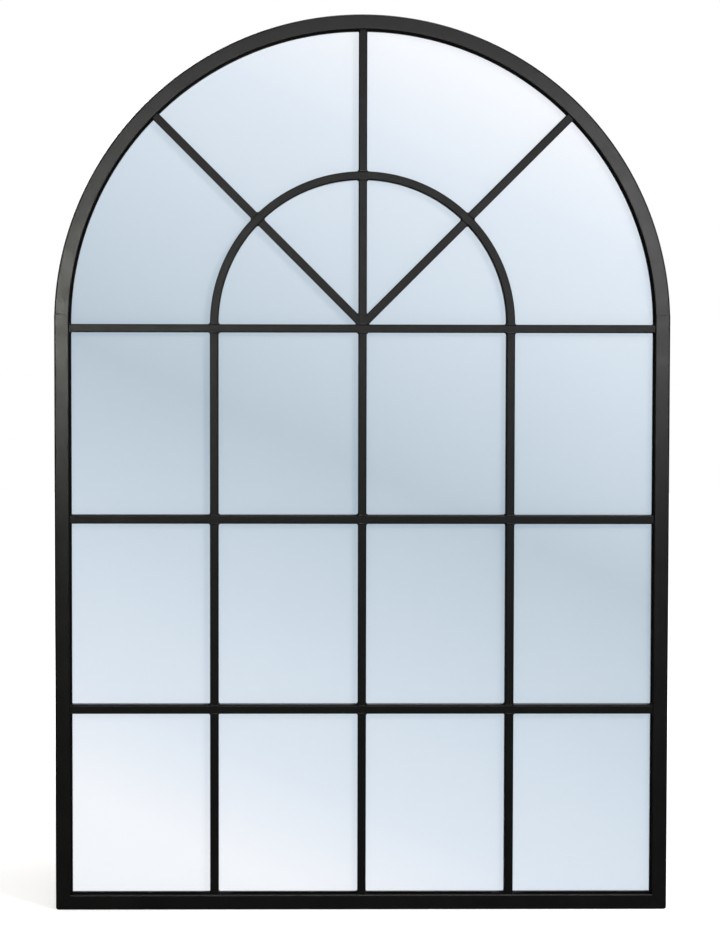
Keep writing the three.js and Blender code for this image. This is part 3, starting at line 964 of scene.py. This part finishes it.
def dRing(name):
    low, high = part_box(name)
    wire = (high.y - low.y) / 2
    half = (high.x - low.x) / 2 - wire
    bend = ring["bend"]
    top = Vector(((low.x + high.x) / 2, (low.y + high.y) / 2, high.z - wire))
    side = high.z - low.z - 2 * wire - half - bend
    path = [(ring["start"] + ring["gap"], 0)]

    def arc(centreX, centreZ, radius, first, last, steps):
        for i in range(steps + 1):
            angle = math.radians(first + (last - first) * i / steps)
            path.append((centreX + radius * math.cos(angle), centreZ + radius * math.sin(angle)))

    arc(half - bend, -bend, bend, 90, 0, ring["bendSteps"])
    arc(0, -bend - side, half, 0, -180, ring["bowSteps"])
    arc(-half + bend, -bend, bend, 180, 90, ring["bendSteps"])
    path.append((ring["start"], 0))
    points = [top + Vector((x, 0, z)) for x, z in path]
    stations = []
    for i, point in enumerate(points):
        ahead = points[min(i + 1, len(points) - 1)] - points[max(i - 1, 0)]
        stations.append((point, ahead.normalized().cross(yWay), yWay))
    build = swept(circleLoop(wire, ring["wireSides"]), stations)
    return finishMesh(build, name + "_wire", [zincBright])


for side in ("left", "right"):
    declare(strapHanger("hanger_strap_" + side), "mirror", "zinc_steel", "hanger_strap_" + side)
    declare(dRing("hanger_ring_" + side), side + "_ring", "zinc_steel", "hanger_ring_" + side)
print("hangers and rings bent")


bumper = {"flat": 12 * mm, "foot": 0.4 * mm, "sides": 48}


def wallBumper(name):
    low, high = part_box(name)
    wide, thick = (high.x - low.x) / 2, high.y - low.y
    flat, bulge = bumper["flat"] / 2, wide - bumper["flat"] / 2
    profile = [(0, 0), (wide - bumper["foot"], 0), (wide, bumper["foot"]), (wide, thick - bulge)]
    for step in range(1, 9):
        angle = math.radians(90 * step / 8)
        profile.append((flat + bulge * math.cos(angle), thick - bulge + bulge * math.sin(angle)))
    profile.append((0, thick))  # flat where it meets the wall
    build = bmesh.new()
    lathe(build, profile, bumper["sides"])
    centre = Vector(((low.x + high.x) / 2, low.y, (low.z + high.z) / 2))
    bmesh.ops.translate(build, verts=build.verts[:], vec=centre)
    return finishMesh(build, name + "_button", [rubberBlack])


for side in ("left", "right"):
    declare(wallBumper("wall_bumper_" + side), "mirror", "rubber", "wall_bumper_" + side)
print("bumpers moulded")


studio = {
    "floorHalf": 9.0,
    "floorDrop": 0.2 * mm,  # below the rail, so that the two faces don't meet
    "floor": "#F2F2F0",
    "floorNear": 0.3,  # glow to the camera close to the object, where its shadow lies
    "floorFar": 1.0,
    "floorFade": (0.8, 2.5),
    "fill": 0.2,  # the world's level as light on matt surfaces
    "dimSide": 0.035,  # and as satin and plated ones reflect it
    "brightSide": 0.75,
    "aboveSide": 0.25,
    "bandLean": (0.405, 0.0, 0.914),
    "bandShift": 0.042,
    "band": ((0.0, "#B2C3CC"), (0.05, "#CBD9E1"), (0.10, "#E2EBF2"), (0.135, "#FFFFFF"),
             (0.22, "#FFFFFF"), (0.34, "#A2B5C3"), (0.46, "#DCE6EE"), (0.58, "#FFFFFF"),
             (0.80, "#C5D1DA"), (1.0, "#B0BCC6")),
}


def makeFloor():
    half = studio["floorHalf"]
    mesh = bpy.data.meshes.new("studio_floor")
    corners = [(-half, -half), (half, -half), (half, half), (-half, half)]
    mesh.from_pydata([(x, y, -studio["floorDrop"]) for x, y in corners], [], [(0, 1, 2, 3)])
    floor = bpy.data.objects.new("studio_floor", mesh)
    scene.collection.objects.link(floor)
    floor.visible_glossy = False
    floor.visible_transmission = False
    paper, tree, shader, place = startMaterial("white_studio_paper")
    shader.inputs["Base Color"].default_value = colour(studio["floor"])
    shader.inputs["Roughness"].default_value = 0.9
    shader.inputs["Specular IOR Level"].default_value = 0.1
    sight = addNode(tree, "ShaderNodeLightPath")
    far = addNode(tree, "ShaderNodeVectorMath", {0: place}, operation="LENGTH")
    level = addNode(tree, "ShaderNodeMapRange", {"Value": far.outputs["Value"],
                                                 "From Min": studio["floorFade"][0],
                                                 "From Max": studio["floorFade"][1],
                                                 "To Min": studio["floorNear"],
                                                 "To Max": studio["floorFar"]})
    glow = addNode(tree, "ShaderNodeEmission", {"Color": colour("#FFFFFF"),
                                                "Strength": level.outputs[0]})
    none = addNode(tree, "ShaderNodeEmission", {"Strength": 0.0})
    seen = addNode(tree, "ShaderNodeMixShader", {0: sight.outputs["Is Camera Ray"], 1: none.outputs[0],
                                                 2: glow.outputs[0]})
    both = addNode(tree, "ShaderNodeAddShader", {0: shader.outputs[0], 1: seen.outputs[0]})
    tree.links.new(both.outputs[0], tree.nodes["Material Output"].inputs["Surface"])
    mesh.materials.append(paper)


def makeWorld():
    world = bpy.data.worlds.new("white_studio")
    scene.world = world
    world.use_nodes = True
    world.cycles.sampling_method = "NONE"
    tree = world.node_tree
    way = addNode(tree, "ShaderNodeTexCoord").outputs["Generated"]
    sight = addNode(tree, "ShaderNodeLightPath")
    # What the sharp mirror sees: soft grey-blue bands that lean, from dark to white and back.
    lean = addNode(tree, "ShaderNodeVectorMath", {0: way, 1: studio["bandLean"]},
                   operation="DOT_PRODUCT")
    shift = addNode(tree, "ShaderNodeMath", {0: lean.outputs["Value"], 1: studio["bandShift"]},
                    operation="ADD")
    away = addNode(tree, "ShaderNodeMath", {0: shift.outputs[0]}, operation="ABSOLUTE")
    bands = addNode(tree, "ShaderNodeValToRGB", {0: away.outputs[0]})
    setStops(bands, studio["band"])
    # What satin and plated surfaces see: dim in front of the mirror, bright above and behind.
    parts = addNode(tree, "ShaderNodeSeparateXYZ", {0: way})
    behind = addNode(tree, "ShaderNodeMapRange", {"Value": parts.outputs["Y"], "From Min": 0.0,
                                                  "From Max": 0.7, "To Min": studio["dimSide"],
                                                  "To Max": studio["brightSide"]})
    above = addNode(tree, "ShaderNodeMapRange", {"Value": parts.outputs["Z"], "From Min": 0.35,
                                                 "From Max": 0.9, "To Min": studio["dimSide"],
                                                 "To Max": studio["aboveSide"]})
    satin = addNode(tree, "ShaderNodeMath", {0: behind.outputs[0], 1: above.outputs[0]},
                    operation="MAXIMUM")
    level = addNode(tree, "ShaderNodeMix", {0: sight.outputs["Is Glossy Ray"], 2: studio["fill"],
                                            3: satin.outputs[0]}, data_type="FLOAT")
    grey = addNode(tree, "ShaderNodeCombineColor", {0: level.outputs[0], 1: level.outputs[0],
                                                    2: level.outputs[0]})
    direct = addNode(tree, "ShaderNodeMath", {0: sight.outputs["Glossy Depth"], 1: 1.5},
                     operation="LESS_THAN")  # a second bounce sees the satin's surround
    mirrored = addNode(tree, "ShaderNodeMath", {0: sight.outputs["Is Singular Ray"],
                                                1: direct.outputs[0]}, operation="MULTIPLY")
    sharp = addNode(tree, "ShaderNodeMix", {0: mirrored.outputs[0], 6: grey.outputs[0],
                                            7: bands.outputs[0]}, data_type="RGBA")
    white = addNode(tree, "ShaderNodeMix", {0: sight.outputs["Is Camera Ray"], 6: sharp.outputs[2],
                                            7: colour("#FFFFFF")}, data_type="RGBA")
    tree.links.new(white.outputs[2], tree.nodes["Background"].inputs["Color"])


lamps = {
    "key": {"place": (1.7, -2.2, 1.9), "aim": (0, 0, 0.6), "size": (0.9, 0.8), "power": 100,
            "tint": "#FFFFFF", "glossy": False, "spread": 180},
    "sheen_left": {"place": (-0.54, -1.5, 0.80), "aim": (-0.4, 0, 0.72), "size": (0.16, 0.16),
                   "power": 0.355, "tint": "#FFFFF4", "glossy": True, "spread": 70},
    "sheen_right": {"place": (0.58, -1.5, 0.93), "aim": (0.4, 0, 0.8), "size": (0.16, 0.5),
                    "power": 0.325, "tint": "#FFF9FF", "glossy": True, "spread": 70},
    "front": {"place": (0, -2.6, 1.0), "aim": (0, 0, 0.9), "size": (1.3, 0.45), "power": 8.5,
              "tint": "#FFFFFF", "glossy": True, "spread": 180},
    "top": {"place": (0.2, -0.5, 2.6), "aim": (0, 0, 0.6), "size": (1.2, 0.3), "power": 16,
            "tint": "#FFFFFF", "glossy": True, "spread": 180},
    "back": {"place": (-1.2, 2.6, 1.9), "aim": (0, 0, 0.6), "size": (1.5, 1.2), "power": 80,
             "tint": "#FFFFFF", "glossy": True, "spread": 180},
}


def makeLamps():
    unlit = bpy.data.collections.new("not_lit_by_sheen")
    unlit.objects.link(mirror)
    unlit.collection_objects[0].light_linking.link_state = "EXCLUDE"
    for name, values in lamps.items():
        data = bpy.data.lights.new(name, "AREA")
        data.shape = "RECTANGLE"
        data.size, data.size_y = values["size"]
        data.energy = values["power"]
        data.color = colour(values["tint"])[:3]
        data.spread = math.radians(values["spread"])
        if values["glossy"]:  # the glass shows none of its gleam on the backs and sides of the bars
            data.use_nodes = True
            tree = data.node_tree
            through = addNode(tree, "ShaderNodeLightPath").outputs["Transmission Depth"]
            seen = addNode(tree, "ShaderNodeMath", {0: through, 1: 0.5}, operation="LESS_THAN")
            tree.links.new(seen.outputs[0], tree.nodes["Emission"].inputs["Strength"])
        lamp = bpy.data.objects.new(name, data)
        aim = Vector(values["aim"]) - Vector(values["place"])
        turn = aim.to_track_quat("-Z", "Y").to_matrix().to_4x4()
        lamp.matrix_world = Matrix.Translation(values["place"]) @ turn
        scene.collection.objects.link(lamp)
        lamp.visible_camera = False
        lamp.visible_transmission = False
        lamp.visible_glossy = values["glossy"]
        if values["glossy"]:
            lamp.light_linking.receiver_collection = unlit


makeFloor()
makeWorld()
makeLamps()
print("studio lit")
